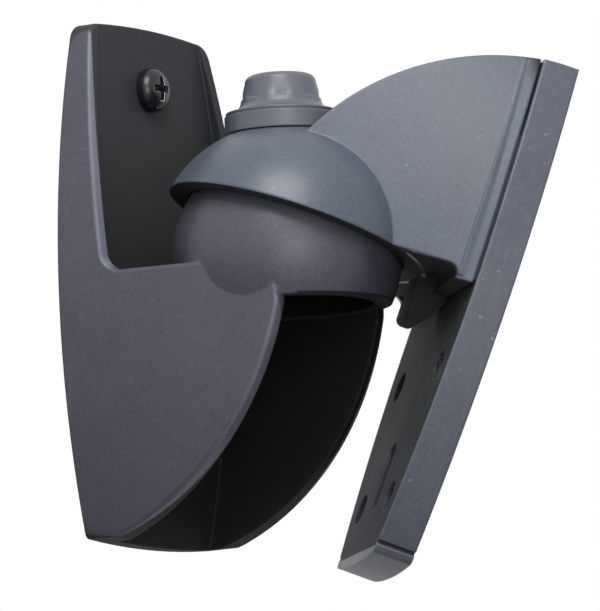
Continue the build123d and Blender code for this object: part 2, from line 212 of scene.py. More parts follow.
class Graph:
    """A node tree being filled."""

    def __init__(self, tree: bpy.types.NodeTree) -> None:
        """Empty the tree."""
        self.tree = tree
        tree.nodes.clear()

    def node(self, kind: str, settings: dict[str, Any], sockets: dict[Any, Any]) -> Node:
        """Add a node.

        Args:
            kind: The node's type.
            settings: Its settings, set before its sockets.
            sockets: Values or links by socket name or place.

        Returns:
            The new node.
        """
        made = self.tree.nodes.new(kind)
        for key, value in settings.items():
            setattr(made, key, value)
        for key, value in sockets.items():
            if isinstance(key, int):
                target = made.inputs[key]
            else:
                target = next(s for s in made.inputs if s.enabled and key in (s.name, s.identifier))
            if isinstance(value, Value):
                self.tree.links.new(value.socket, target)
            else:
                target.default_value = value
        return Node(self, made)

    def mix(self, factor: Operand, first: Any, second: Any, blend: str = "MIX") -> Value:
        """Mix two colours.

        Args:
            factor: Share of the second colour.
            first: First colour, four numbers or a link.
            second: Second colour, four numbers or a link.
            blend: Blend type.

        Returns:
            The mixed colour.
        """
        settings = {"data_type": "RGBA", "blend_type": blend}
        return self.node("ShaderNodeMix", settings, {"Factor": factor, "A": first, "B": second}).out("Result")

    def toned(self, colour: Any, level: Value) -> Value:
        """Scale a colour by a level.

        Args:
            colour: Four numbers or a link.
            level: The level.

        Returns:
            The scaled colour.
        """
        sockets = {"Red": level, "Green": level, "Blue": level}
        grey = self.node("ShaderNodeCombineColor", {}, sockets).out("Color")
        return self.mix(1.0, colour, grey, "MULTIPLY")

    def noise(self, place: Value, pattern: Pattern) -> Value:
        """Add a noise pattern.

        Args:
            place: Coordinates.
            pattern: The pattern.

        Returns:
            The noise, about one half on average.
        """
        sockets = {"Vector": place, "Scale": pattern.scale, "Detail": pattern.detail,
                   "Roughness": pattern.roughness}
        return self.node("ShaderNodeTexNoise", {}, sockets).out("Fac")

    def vector(self, operation: str, left: Any, right: Any) -> Node:
        """Return a new Vector Math node on two vectors or links."""
        return self.node("ShaderNodeVectorMath", {"operation": operation}, {0: left, 1: right})

    def along(self, place: Value, origin: Vector, direction: Vector) -> Value:
        """Measure how far a place lies from an origin along a direction.

        Args:
            place: Coordinates.
            origin: Where the measure is zero.
            direction: Unit direction.

        Returns:
            The distance, negative behind the origin.
        """
        away = self.vector("SUBTRACT", place, origin).out("Vector")
        return self.vector("DOT_PRODUCT", away, direction).out("Value")

    def distance(self, place: Value, origin: Vector) -> Value:
        """Return how far a place lies from a point."""
        return self.vector("DISTANCE", place, origin).out("Value")

    def edges(self, radius: float) -> tuple[Value, Value]:
        """Find the convex and concave edges of a piece.

        Args:
            radius: Width over which an edge is softened.

        Returns:
            The softened normal, and a mask that is one at an edge.
        """
        soft = self.node("ShaderNodeBevel", {"samples": EDGE_SAMPLES}, {"Radius": radius}).out("Normal")
        flat = self.node("ShaderNodeNewGeometry", {}, {}).out("Normal")
        along = self.vector("DOT_PRODUCT", soft, flat).out("Value")
        return soft, (1.0 - along).ramp(*EDGE_SPAN)

    def bumped(self, height: Value, strength: float, depth: float, normal: Value) -> Value:
        """Raise a grain on a surface.

        Args:
            height: The grain's height, from zero to one.
            strength: Share of the grain that shows.
            depth: Depth of the grain.
            normal: The surface's own normal.

        Returns:
            The normal with the grain.
        """
        sockets = {"Strength": strength, "Distance": depth, "Height": height, "Normal": normal}
        return self.node("ShaderNodeBump", {}, sockets).out("Normal")

    def seen(self) -> Value:
        """Tell rays that show a background from those that only light the object.

        Returns:
            One for rays from the camera, a gloss or a clear piece, and zero for the others.
        """
        path = self.node("ShaderNodeLightPath", {}, {})
        rays = path.out("Is Camera Ray") + path.out("Is Glossy Ray") + path.out("Is Transmission Ray")
        return rays > 0.5

    def principled(self, sockets: dict[str, Any]) -> Value:
        """Return a new principled surface with these sockets."""
        return self.node("ShaderNodeBsdfPrincipled", {}, sockets).out("BSDF")

    def finish(self, surface: Value) -> None:
        """End a material's tree in a surface."""
        self.node("ShaderNodeOutputMaterial", {}, {"Surface": surface})


def new_material(name: str) -> tuple[bpy.types.Material, Graph]:
    """Add a material with an empty node tree.

    Args:
        name: Its name.

    Returns:
        The material and its graph.
    """
    made = bpy.data.materials.new(name)
    made.use_nodes = True
    return made, Graph(made.node_tree)


def rgba(colour: Colour, level: float = 1.0) -> tuple[float, float, float, float]:
    """Return a colour with its alpha, scaled by a level."""
    return (colour[0] * level, colour[1] * level, colour[2] * level, 1.0)


@dataclass(frozen=True)
class Axes:
    """A casting's own directions: out from its root, across it and up, from one origin."""

    origin: Vector
    forward: Vector
    upward: Vector

    @property
    def across(self) -> Vector:
        """Return the direction across the casting."""
        return self.upward.cross(self.forward)


@dataclass(frozen=True)
class Shell:
    """The bowed, tapered outer skin of a casting, and the hollow inside it, where shade is painted near-black.

    Attributes:
        axes: The casting's own directions.
        back: Reach at which the back half width is measured.
        front: Reach at which the front half width is measured.
        back_half_width: Half width at the back.
        front_half_width: Half width at the front.
        bow: How far each side bows in at the top.
        foot_bow: How far each side bows in at the foot.
        half_height: Rise at which the bow is measured.
        skin: Depth of the outer skin that is kept free of painted shade.
        ball: Centre of the ball joint.
        ball_low: Radius from which the ball or dome is kept free of painted shade.
        ball_high: Radius up to which it is kept free of it.
        ball_floor: Rise above which it is kept free of it.
        rim_rise: Rise below which shade is painted on the inside of the dome.
        rim_reach: Distance from the ball's centre within which that shade is painted.
        end: Rise or depth past which the ends are kept free of painted shade.
        shade_offset: How far aside the middle of the shaded zone is moved, which paints more shade on the far
            side.
        blur: Share of the skin at which the painted shade starts to fade in.
    """

    axes: Axes
    back: float
    front: float
    back_half_width: float
    front_half_width: float
    bow: float
    foot_bow: float
    half_height: float
    skin: float
    ball: Vector
    ball_low: float = 0.0
    ball_high: float = 0.0
    ball_floor: float = 0.0
    rim_rise: float = -FAR
    rim_reach: float = 0.0
    end: float = FAR
    shade_offset: float = 0.0
    blur: float = 0.7

    def measures(self, graph: Graph, place: Value) -> tuple[Value, Value, Value]:
        """Measure a place in the casting's own directions.

        Args:
            graph: The graph to add to.
            place: Coordinates.

        Returns:
            Reach, distance from the middle, and rise.
        """
        reach = graph.along(place, self.axes.origin, self.axes.forward)
        # Moving the middle aside by the offset paints more shade on the far side.
        aside = abs(graph.along(place, self.axes.origin, self.axes.across) - self.shade_offset)
        rise = graph.along(place, self.axes.origin, self.axes.upward)
        return reach, aside, rise

    def inside(self, graph: Graph, place: Value) -> Value:
        """Find where shade is painted: the hollow of the casting, apart from the ball or dome in it, and the
        inside of the dome's rim.

        Args:
            graph: The graph to add to.
            place: Coordinates.

        Returns:
            One in the hollow and under the dome's rim, zero on the outer skin, the ball and the dome.
        """
        reach, aside, rise = self.measures(graph, place)
        taper = (self.front_half_width - self.back_half_width) / (self.front - self.back)
        bow = self.bow + (rise < 0.0) * (self.foot_bow - self.bow)
        height = rise * (1.0 / self.half_height)
        half = (reach - self.back) * taper + self.back_half_width - bow * height * height
        # Painted shade: the hollow between the walls turns near-black.
        hollow = (half - aside).ramp(self.skin * self.blur, self.skin) * (abs(rise) < self.end)
        away = graph.distance(place, self.ball)
        round_skin = (away > self.ball_low) * (away < self.ball_high) * (rise > self.ball_floor)
        # Painted shade also under the dome's rim.
        under_rim = (rise < self.rim_rise) * (away < self.rim_reach)
        return (hollow * (1.0 - round_skin)).most(under_rim)


@dataclass(frozen=True)
class CastPaint:
    """Satin charcoal paint, with shade painted near-black into hollows and under the dome, a painted highlight
    on front rim faces, and edges lightened partly by abrasion and partly as painted highlight.
    """

    name: str
    colour: Colour
    shell: Shell
    # Near-black colour of the shade painted into hollows and under the dome.
    painted_shade: Colour = (0.006, 0.006, 0.0065)
    # Share of the painted shade kept beyond fade_high; between fade_low and fade_high it changes with rise.
    far_shade_share: float = 1.0
    fade_low: float = 0.0
    fade_high: float = 40.0 * MM
    scratches: float = 0.0
    rim_highlight: float = 0.0
    roughness: float = 0.38
    specular: float = 0.45
    grain: float = 0.2
    grain_depth: float = 0.25 * MM
    edge_radius: float = 0.8 * MM
    edge_light: float = 0.4
    nicks: float = 0.28
    edge_level: float = 1.9
    highlight_level: float = 3.2
    rub_level: float = 1.25
    nick_level: float = 2.6
    edge_floor: float = 0.4
    edge_patch: float = 1.2
    shade_edge_cut: float = 0.8
    fine_height: float = 0.6
    mottle_height: float = 0.4
    fine_tone: float = 0.4
    mottle_tone: float = 0.6
    patch_tone: float = 0.3
    fine_rough: float = 0.1
    patch_rough: float = 0.14
    edge_polish: float = 0.06
    painted_shade_rough: float = 0.4
    streak_pitch: float = 1500.0
    streak_run: float = 130.0
    streak_span: Span = (0.5, 0.72)
    cloud_span: Span = (0.38, 0.6)
    speck_span: Span = (0.7, 0.76)
    rim_span: Span = (0.3, 0.9)
    fine: Pattern = Pattern(2600.0, 3.0, 0.6)
    mottle: Pattern = Pattern(1100.0, 3.0, 0.6)
    patch: Pattern = Pattern(70.0, 3.0, 0.55)
    streak: Pattern = Pattern(1.0, 4.0, 0.65)
    cloud: Pattern = Pattern(90.0)
    speck: Pattern = Pattern(520.0)

    def painted_shade_mask(self, graph: Graph, place: Value) -> Value:
        """Find how much shade is painted near-black, scaled between two rises.

        Args:
            graph: The graph to add to.
            place: Coordinates.

        Returns:
            Zero where no shade is painted and one where it is full.
        """
        rise = graph.along(place, self.shell.axes.origin, self.shell.axes.upward)
        # Painted shade changes with rise: stronger towards the bottom of the wall casting, weaker towards the
        # plate's lower end.
        depth = 1.0 - rise.ramp(self.fade_low, self.fade_high) * (1.0 - self.far_shade_share)
        return self.shell.inside(graph, place) * depth

    def streaks(self, graph: Graph, place: Value) -> Value:
        """Draw fine scuffed streaks along the casting.

        Args:
            graph: The graph to add to.
            place: Coordinates.

        Returns:
            One on a streak.
        """
        reach, aside, rise = self.shell.measures(graph, place)
        sockets = {"X": reach * self.streak_pitch, "Y": aside * self.streak_pitch,
                   "Z": rise * self.streak_run}
        drawn = graph.node("ShaderNodeCombineXYZ", {}, sockets).out("Vector")
        clouds = graph.noise(place, self.cloud).ramp(*self.cloud_span)
        return graph.noise(drawn, self.streak).ramp(*self.streak_span) * clouds

    def highlight_and_streaks(self, graph: Graph, place: Value, normal: Value, patch: Value, painted: Value) -> Value:
        """Paint a highlight on the front rim faces and add streaks to the paint.

        Args:
            graph: The graph to add to.
            place: Coordinates.
            normal: Direction that the surface faces.
            patch: Broad pattern that breaks up the painted highlight.
            painted: Colour of the paint.

        Returns:
            The colour with the painted highlight and the streaks.
        """
        ahead = graph.along(normal, ORIGIN, self.shell.axes.forward)
        off_ball = graph.distance(place, self.shell.ball) > self.shell.ball_high
        outer = (1.0 - self.shell.inside(graph, place)) * off_ball
        # Painted highlight: rim faces that face forward, outside the hollow, are lightened.
        lightened = ahead.ramp(*self.rim_span) * outer * self.rim_highlight * (NOISE_MEAN + patch)
        bright = graph.mix(lightened, painted, rgba(self.colour, self.highlight_level))
        streaked = self.streaks(graph, place) * self.scratches
        return graph.mix(streaked, bright, rgba(self.colour, self.rub_level))

    def material(self) -> bpy.types.Material:
        """Make the paint.

        Returns:
            The material.
        """
        made, graph = new_material(self.name)
        surface = graph.node("ShaderNodeTexCoord", {}, {})
        place = surface.out("Object")
        fine, mottle, patch = (graph.noise(place, each) for each in (self.fine, self.mottle, self.patch))
        soft, edge = graph.edges(self.edge_radius)
        painted_shade = self.painted_shade_mask(graph, place)
        speckled = self.fine_tone * (fine - NOISE_MEAN) + self.mottle_tone * (mottle - NOISE_MEAN)
        level = 1.0 + speckled + self.patch_tone * (patch - NOISE_MEAN)
        # Painted shade: the colour turns near-black where the shade mask is full.
        body = graph.toned(graph.mix(painted_shade, rgba(self.colour), rgba(self.painted_shade)), level)
        # Edges are lightened partly by abrasion and partly as a painted highlight, less where shade is painted.
        patchy = self.edge_floor + self.edge_patch * patch
        edge_wear_and_highlight = edge * patchy * (1.0 - self.shade_edge_cut * painted_shade) * self.edge_light
        edge_toned = graph.mix(edge_wear_and_highlight, body, rgba(self.colour, self.edge_level))
        highlight_and_streaks = self.highlight_and_streaks(graph, place, surface.out("Normal"), patch, edge_toned)
        specks = graph.noise(place, self.speck).ramp(*self.speck_span) * (1.0 - painted_shade)
        nicked = graph.mix(specks * self.nicks, highlight_and_streaks, rgba(self.colour, self.nick_level))
        uneven = self.patch_rough * (patch - NOISE_MEAN) + self.fine_rough * (fine - NOISE_MEAN)
        rough = self.roughness + uneven - self.edge_polish * edge + self.painted_shade_rough * painted_shade
        height = self.fine_height * fine + self.mottle_height * mottle
        normal = graph.bumped(height, self.grain, self.grain_depth, soft)
        graph.finish(graph.principled({
            "Base Color": nicked, "Roughness": rough, "Normal": normal, "Specular IOR Level": self.specular}))
        return made


@dataclass(frozen=True)
class MouldedPlastic:
    """Dark moulded plastic with a faint grain and polished edges."""

    name: str
    colour: Colour
    roughness: float = 0.36
    specular: float = 0.45
    grain: float = 0.14
    grain_depth: float = 0.15 * MM
    edge_radius: float = 0.5 * MM
    edge_light: float = 0.3
    edge_level: float = 1.9
    base_tone: float = 0.9
    fine_tone: float = 0.12
    patch_tone: float = 0.12
    fine_rough: float = 0.08
    patch_rough: float = 0.14
    edge_polish: float = 0.08
    fine: Pattern = Pattern(3800.0)
    patch: Pattern = Pattern(160.0)

    def material(self) -> bpy.types.Material:
        """Make the plastic.

        Returns:
            The material.
        """
        made, graph = new_material(self.name)
        place = graph.node("ShaderNodeTexCoord", {}, {}).out("Object")
        fine, patch = (graph.noise(place, each) for each in (self.fine, self.patch))
        soft, edge = graph.edges(self.edge_radius)
        level = self.base_tone + self.fine_tone * fine + self.patch_tone * (patch - NOISE_MEAN)
        body = graph.toned(rgba(self.colour), level)
        edge_toned = graph.mix(edge * self.edge_light, body, rgba(self.colour, self.edge_level))
        uneven = self.patch_rough * (patch - NOISE_MEAN) + self.fine_rough * (fine - NOISE_MEAN)
        rough = self.roughness + uneven - self.edge_polish * edge
        normal = graph.bumped(fine, self.grain, self.grain_depth, soft)
        graph.finish(graph.principled({
            "Base Color": edge_toned, "Roughness": rough, "Normal": normal, "Specular IOR Level": self.specular}))
        return made


@dataclass(frozen=True)
class TurnedSteel:
    """Steel with fine turning marks, bright or blackened."""

    name: str
    colour: Colour
    metallic: float
    roughness: float
    marks: float = 0.12
    marks_depth: float = 0.1 * MM
    chips: float = 0.0
    edge_radius: float = 0.3 * MM
    edge_light: float = 0.5
    edge_floor: float = 0.3
    edge_patch: float = 0.7
    base_tone: float = 0.86
    fine_tone: float = 0.18
    patch_tone: float = 0.2
    patch_rough: float = 0.2
    chip_span: Span = (0.15, 0.5)
    spot_span: Span = (0.46, 0.58)
    edge_toned: Colour = (0.42, 0.42, 0.43)
    chipped: Colour = (0.72, 0.72, 0.73)
    fine: Pattern = Pattern(4200.0, 3.0, 0.6)
    patch: Pattern = Pattern(240.0)
    spot: Pattern = Pattern(620.0)

    def material(self) -> bpy.types.Material:
        """Make the steel.

        Returns:
            The material.
        """
        made, graph = new_material(self.name)
        place = graph.node("ShaderNodeTexCoord", {}, {}).out("Object")
        fine, patch, spot = (graph.noise(place, each) for each in (self.fine, self.patch, self.spot))
        soft, edge = graph.edges(self.edge_radius)
        level = self.base_tone + self.fine_tone * fine + self.patch_tone * (patch - NOISE_MEAN)
        body = graph.toned(rgba(self.colour), level)
        patchy = self.edge_floor + self.edge_patch * patch
        edge_toned = graph.mix(edge * patchy * self.edge_light, body, rgba(self.edge_toned))
        chips = edge.ramp(*self.chip_span) * spot.ramp(*self.spot_span) * self.chips
        chipped = graph.mix(chips, edge_toned, rgba(self.chipped))
        uneven = self.patch_rough * (patch - NOISE_MEAN) + self.marks * (fine - NOISE_MEAN)
        shine = self.metallic + edge * (1.0 - self.metallic) * self.edge_light
        normal = graph.bumped(fine, self.marks, self.marks_depth, soft)
        graph.finish(graph.principled({
            "Base Color": chipped, "Metallic": shine, "Roughness": self.roughness + uneven,
            "Normal": normal}))
        return made


def lathe(profile: Sequence[tuple[float, float]], segments: int, facets: int = 0,
          flats: Sequence[float] = (), turn: float = 0.0) -> bmesh.types.BMesh:
    """Turn a profile about the upright axis.

    Args:
        profile: Radius and height of each ring; a radius of zero is a closed pole.
        segments: Points in a ring.
        facets: Flats round the piece, none for a plain turning.
        flats: How far the flats of each ring lie from the axis.
        turn: Direction of the first flat, in degrees.

    Returns:
        The turned shape, with its faces pointing outwards.
    """
    shape = bmesh.new()
    rings: list[list[bmesh.types.BMVert]] = []
    for place, (radius, height) in enumerate(profile):
        if radius == 0.0:
            rings.append([shape.verts.new((0.0, 0.0, height))])
            continue
        ring = []
        for step in range(segments):
            angle = 2.0 * math.pi * step / segments
            reach = radius
            if facets:
                off = (angle + math.pi / facets) % (2.0 * math.pi / facets) - math.pi / facets
                reach = min(radius, flats[place] / math.cos(off))
            angle += math.radians(turn)
            ring.append(shape.verts.new((reach * math.cos(angle), reach * math.sin(angle), height)))
        rings.append(ring)
    for lower, upper in zip(rings, rings[1:]):
        for step in range(segments):
            after = (step + 1) % segments
            if len(lower) == 1:
                shape.faces.new((lower[0], upper[after], upper[step]))
            elif len(upper) == 1:
                shape.faces.new((lower[step], lower[after], upper[0]))
            else:
                shape.faces.new((lower[step], lower[after], upper[after], upper[step]))
    bmesh.ops.recalc_face_normals(shape, faces=shape.faces)
    return shape


def smooth_by_angle(mesh: bpy.types.Mesh, degrees: float) -> None:
    """Shade a mesh smooth except across edges that turn by more than an angle.

    Args:
        mesh: The mesh.
        degrees: The angle.
    """
    shape = bmesh.new()
    shape.from_mesh(mesh)
    for face in shape.faces:
        face.smooth = True
    for edge in shape.edges:
        edge.smooth = len(edge.link_faces) == 2 and edge.calc_face_angle(0.0) < math.radians(degrees)
    shape.to_mesh(mesh)
    shape.free()


def mesh_of(shape: bmesh.types.BMesh, name: str) -> bpy.types.Mesh:
    """Turn a shape into a mesh.

    Args:
        shape: The shape, which is freed.
        name: Name of the mesh.

    Returns:
        The mesh.
    """
    mesh = bpy.data.meshes.new(name)
    shape.to_mesh(mesh)
    shape.free()
    return mesh


def add_object(name: str, mesh: bpy.types.Mesh) -> bpy.types.Object:
    """Add a mesh to the scene.

    Args:
        name: Name of its object.
        mesh: The mesh.

    Returns:
        The object.
    """
    made = bpy.data.objects.new(name, mesh)
    bpy.context.scene.collection.objects.link(made)
    return made


def settled(source: bpy.types.Object, name: str) -> bpy.types.Object:
    """Turn an object and its modifiers into a plain mesh at the origin.

    Args:
        source: The object, which is removed.
        name: Name of the finished piece.

    Returns:
        The finished piece.
    """
    bpy.context.view_layer.update()
    evaluated = source.evaluated_get(bpy.context.evaluated_depsgraph_get())
    mesh = bpy.data.meshes.new_from_object(evaluated)
    mesh.transform(source.matrix_world)
    source.modifiers.clear()
    bpy.data.objects.remove(source)
    return add_object(name, mesh)


def dress(piece: bpy.types.Object, material: bpy.types.Material) -> None:
    """Give a piece or a node one material in place of those it has."""
    piece.data.materials.clear()
    piece.data.materials.append(material)


def report(piece: bpy.types.Object) -> None:
    """Log a finished piece with its number of faces."""
    log.info("%s: %d faces", piece.name, len(piece.data.polygons))


@dataclass
class ScrewPair:
    """Two pan-head screws with a cross recess and a thread, on one body.

    The rim, the dome's rise and the recess's floor and mouth are shares of the head's height.
    The crown and the recess's reach and width are shares of the head's width.
    """

    name: str
    body: Body
    nodes: tuple[str, str]
    seats: tuple[Vector, Vector]
    axis: Vector
    finish: TurnedSteel
    head: float
    head_height: float
    shank: float
    length: float
    pitch: float
    plain: float
    point: float = 1.6 * MM
    thread_depth: float = 0.42 * MM
    rim: float = 0.32
    dome_rise: float = 0.62
    crown: float = 0.42
    recess_reach: float = 0.3
    recess_width: float = 0.082
    recess_floor: float = 0.34
    recess_mouth: float = 1.2
    segments: int = 48
    dome_steps: int = 8
    thread_steps: int = 28
    crease: float = 32.0

    def single(self) -> bpy.types.Object:
        """Make one screw, seated at the origin with its head up, without its thread.

        Returns:
            The screw.
        """
        core = self.shank / 2 - 1.2 * self.thread_depth
        half, top, tip = self.head / 2, self.head_height, -self.length
        profile = [(0.0, tip), (core * 0.45, tip + 0.25 * MM), (core * 0.9, tip + 1.2 * MM),
                   (core, tip + self.point), (core, 0.0), (half * 0.97, 0.0), (half, 0.1 * MM),
                   (half, top * self.rim)]
        for step in range(1, self.dome_steps):
            angle = math.pi / 2 * step / self.dome_steps
            profile.append((half * (self.crown + (1.0 - self.crown) * math.cos(angle)),
                            top * (self.rim + self.dome_rise * math.sin(angle))))
        profile += [(half * self.crown, top * 0.95), (half * 0.2, top * 0.985), (0.0, top)]
        name = self.name + "_blank"
        blank = add_object(name, mesh_of(lathe(profile, self.segments), name))
        cutter = self.recess()
        cut = blank.modifiers.new("recess", "BOOLEAN")
        cut.operation = "DIFFERENCE"
        cut.solver = "EXACT"
        cut.object = cutter
        screw = settled(blank, self.name + "_single")
        bpy.data.objects.remove(cutter)
        return screw

    def recess(self) -> bpy.types.Object:
        """Make the tapered cross that is cut from a screw head.

        Returns:
            The cross.
        """
        reach, wide = self.head * self.recess_reach, self.head * self.recess_width
        floor, above = self.head_height * self.recess_floor, self.head_height * self.recess_mouth
        shape = bmesh.new()
        rings = []
        for height, spread, width in ((floor, 0.6, 0.66), (above, 1.08, 1.1)):
            arm, half = reach * spread, wide * width
            outline = [(half, half), (arm, half), (arm, -half), (half, -half), (half, -arm),
                       (-half, -arm), (-half, -half), (-arm, -half), (-arm, half), (-half, half),
                       (-half, arm), (half, arm)]
            rings.append([shape.verts.new((x, y, height)) for x, y in outline])
        lower, upper = rings
        shape.faces.new(lower)
        shape.faces.new(upper)
        for step in range(len(lower)):
            after = (step + 1) % len(lower)
            shape.faces.new((lower[step], lower[after], upper[after], upper[step]))
        bmesh.ops.recalc_face_normals(shape, faces=shape.faces)
        name = self.name + "_recess"
        return add_object(name, mesh_of(shape, name))

    def tree(self) -> bpy.types.NodeTree:
        """Build the node tree that threads a screw and sets it at both seats.

        Returns:
            The tree, with named inputs for its sizes.
        """
        tree = bpy.data.node_groups.new(self.name + "_tree", "GeometryNodeTree")
        inputs = (("Geometry", "NodeSocketGeometry"), ("First Seat", "NodeSocketVector"),
                  ("Second Seat", "NodeSocketVector"), ("Turn", "NodeSocketRotation"),
                  ("Thread Radius", "NodeSocketFloat"), ("Thread Turns", "NodeSocketFloat"),
                  ("Thread Length", "NodeSocketFloat"), ("Thread Foot", "NodeSocketVector"),
                  ("Thread Size", "NodeSocketFloat"), ("Finish", "NodeSocketMaterial"))
        for name, kind in inputs:
            tree.interface.new_socket(name, in_out="INPUT", socket_type=kind)
        tree.interface.new_socket("Geometry", in_out="OUTPUT", socket_type="NodeSocketGeometry")
        graph = Graph(tree)
        given = graph.node("NodeGroupInput", {}, {})
        helix = graph.node("GeometryNodeCurveSpiral", {}, {
            "Resolution": self.thread_steps, "Rotations": given.out("Thread Turns"),
            "Start Radius": given.out("Thread Radius"), "End Radius": given.out("Thread Radius"),
            "Height": given.out("Thread Length")})
        ridge = graph.node("GeometryNodeCurvePrimitiveCircle", {}, {
            "Resolution": 4, "Radius": given.out("Thread Size")})
        swept = graph.node("GeometryNodeCurveToMesh", {}, {
            "Curve": helix.out("Curve"), "Profile Curve": ridge.out("Curve"), "Fill Caps": True})
        placed = graph.node("GeometryNodeTransform", {}, {
            "Geometry": swept.out("Mesh"), "Translation": given.out("Thread Foot")})
        screw = graph.node("GeometryNodeJoinGeometry", {}, {"Geometry": given.out("Geometry")})
        tree.links.new(placed.out("Geometry").socket, screw.node.inputs["Geometry"])
        seats = graph.node("GeometryNodeMeshLine", {"mode": "END_POINTS"}, {
            "Count": 2, "Start Location": given.out("First Seat"), "Offset": given.out("Second Seat")})
        pair = graph.node("GeometryNodeInstanceOnPoints", {}, {
            "Points": seats.out("Mesh"), "Instance": screw.out("Geometry"), "Rotation": given.out("Turn")})
        real = graph.node("GeometryNodeRealizeInstances", {}, {"Geometry": pair.out("Instances")})
        finished = graph.node("GeometryNodeSetMaterial", {}, {
            "Geometry": real.out("Geometry"), "Material": given.out("Finish")})
        graph.node("NodeGroupOutput", {}, {"Geometry": finished.out("Geometry")})
        return tree

    def build(self) -> bpy.types.Object:
        """Make both screws as one piece that stands for the two nodes.

        Returns:
            The finished piece.
        """
        material = self.finish.material()
        single = self.single()
        threaded = self.length - self.plain - self.point
        modifier = single.modifiers.new("pair", "NODES")
        modifier.node_group = self.tree()
        turn = UP.rotation_difference(self.axis).to_euler()
        size = self.thread_depth
        values = {"First Seat": self.seats[0], "Second Seat": self.seats[1], "Turn": turn,
                  "Thread Radius": self.shank / 2 - size, "Thread Turns": threaded / self.pitch,
                  "Thread Length": threaded, "Thread Foot": Vector((0.0, 0.0, -self.plain - threaded)),
                  "Thread Size": size, "Finish": material}
        for item in modifier.node_group.interface.items_tree:
            if item.in_out == "INPUT" and item.name in values:
                modifier[item.identifier] = values[item.name]
        piece = settled(single, self.name)
        smooth_by_angle(piece.data, self.crease)
        dress(piece, material)
        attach(piece, self.body.value)
        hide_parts(*self.nodes)
        report(piece)
        return piece


@dataclass
class Screws:
    """The wall screws, and the screws that hold the speaker plate on the arm."""

    arm_axes: Axes
    wall_head_height: float = 4.0 * MM
    plate_reach: float = 39.5 * MM
    plate_rises: tuple[float, float] = (42.0 * MM, 18.0 * MM)

    def wall(self) -> ScrewPair:
        """Set out the wall screws in the places of their nodes.

        Returns:
            The pair.
        """
        names = ("upper_wall_screw", "lower_wall_screw")
        seats = []
        for name in names:
            low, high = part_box(name)
            middle = (low + high) / 2
            seats.append(Vector((high.x - self.wall_head_height, middle.y, middle.z)))
        steel = TurnedSteel("wall_screw_steel", (0.011, 0.0115, 0.014), metallic=0.1, roughness=0.26,
                            chips=0.9)
        return ScrewPair("wall_screws", Body.WALL, names, (seats[0], seats[1]), FROM_WALL, steel,
                         head=9.8 * MM, head_height=self.wall_head_height, shank=4.5 * MM, length=16.8 * MM,
                         pitch=1.6 * MM, plain=4.8 * MM)

    def plate(self) -> ScrewPair:
        """Set out the screws on the speaker plate's web.

        Returns:
            The pair.
        """
        axes = self.arm_axes
        web = axes.origin + axes.forward * self.plate_reach
        upper, lower = (web + axes.upward * rise for rise in self.plate_rises)
        steel = TurnedSteel("plate_screw_steel", (0.012, 0.012, 0.013), metallic=0.1, roughness=0.3)
        return ScrewPair("plate_screws", Body.ARM, ("upper_plate_screw", "lower_plate_screw"), (upper, lower),
                         axes.forward, steel, head=9.0 * MM, head_height=3.0 * MM, shank=5.0 * MM,
                         length=10.0 * MM, pitch=0.8 * MM, plain=3.8 * MM)

    def build(self) -> None:
        """Make both pairs."""
        self.wall().build()
        self.plate().build()


@dataclass
class ClampKnob:
    """The round plastic knob with soft facets that clamps the ball joint."""

    base_radius: float = 12.2 * MM
    head_radius: float = 8.8 * MM
    flat_radius: float = 8.35 * MM
    band: float = 0.5 * MM
    flare: float = 3.2 * MM
    draft: float = 1.0 * MM
    top_round: float = 1.7 * MM
    sink: float = 0.25 * MM
    facets: int = 8
    facet_turn: float = -56.0
    segments: int = 96
    flare_steps: int = 8
    round_steps: int = 7
    crease: float = 40.0
    finish: MouldedPlastic = MouldedPlastic("knob_plastic", KNOB_COLOUR)

    def rings(self, tall: float) -> list[tuple[float, float, float]]:
        """Draw the knob's profile from its foot to its top.

        Args:
            tall: Height of the knob.

        Returns:
            Radius, height and distance of the flats from the axis, for each ring.
        """
        base, head, free = self.base_radius, self.head_radius, 2.0 * self.base_radius
        low = -self.sink
        rings = [(0.0, low, free), (base * 0.6, low, free), (base * 0.985, low, free),
                 (base, 0.0, free), (base, self.band, free)]
        for step in range(1, self.flare_steps + 1):
            angle = math.pi / 2 * step / self.flare_steps
            rings.append((base - (base - head) * math.sin(angle),
                          self.band + (self.flare - self.band) * (1.0 - math.cos(angle)), free))
        rings[-1] = (head, self.flare, head)
        straight = tall - self.top_round - self.flare
        for share in (0.08, 0.5, 1.0):
            rings.append((head - self.draft * share, self.flare + straight * share, self.flat_radius))
        shoulder = head - self.draft
        for step in range(1, self.round_steps + 1):
            angle = math.pi / 2 * step / self.round_steps
            inwards = self.top_round * (1.0 - math.cos(angle))
            below = self.top_round * (1.0 - math.sin(angle))
            rings.append((shoulder - inwards, tall - below, self.flat_radius - inwards))
        rings += [(head * 0.45, tall, free), (head * 0.2, tall, free), (0.0, tall, free)]
        return rings

    def build(self) -> bpy.types.Object:
        """Make the knob in the place of its node.

        Returns:
            The finished piece.
        """
        low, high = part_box("clamp_knob")
        rings = self.rings(high.z - low.z)
        profile = [(radius, height) for radius, height, _ in rings]
        flats = [flat for _, _, flat in rings]
        shape = lathe(profile, self.segments, self.facets, flats, self.facet_turn)
        mesh = mesh_of(shape, "clamp_knob_head")
        mesh.transform(Matrix.Translation(((low.x + high.x) / 2, (low.y + high.y) / 2, low.z)))
        piece = add_object("clamp_knob_head", mesh)
        smooth_by_angle(mesh, self.crease)
        dress(piece, self.finish.material())
        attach(piece, Body.KNOB.value)
        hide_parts("clamp_knob")
        report(piece)
        return piece


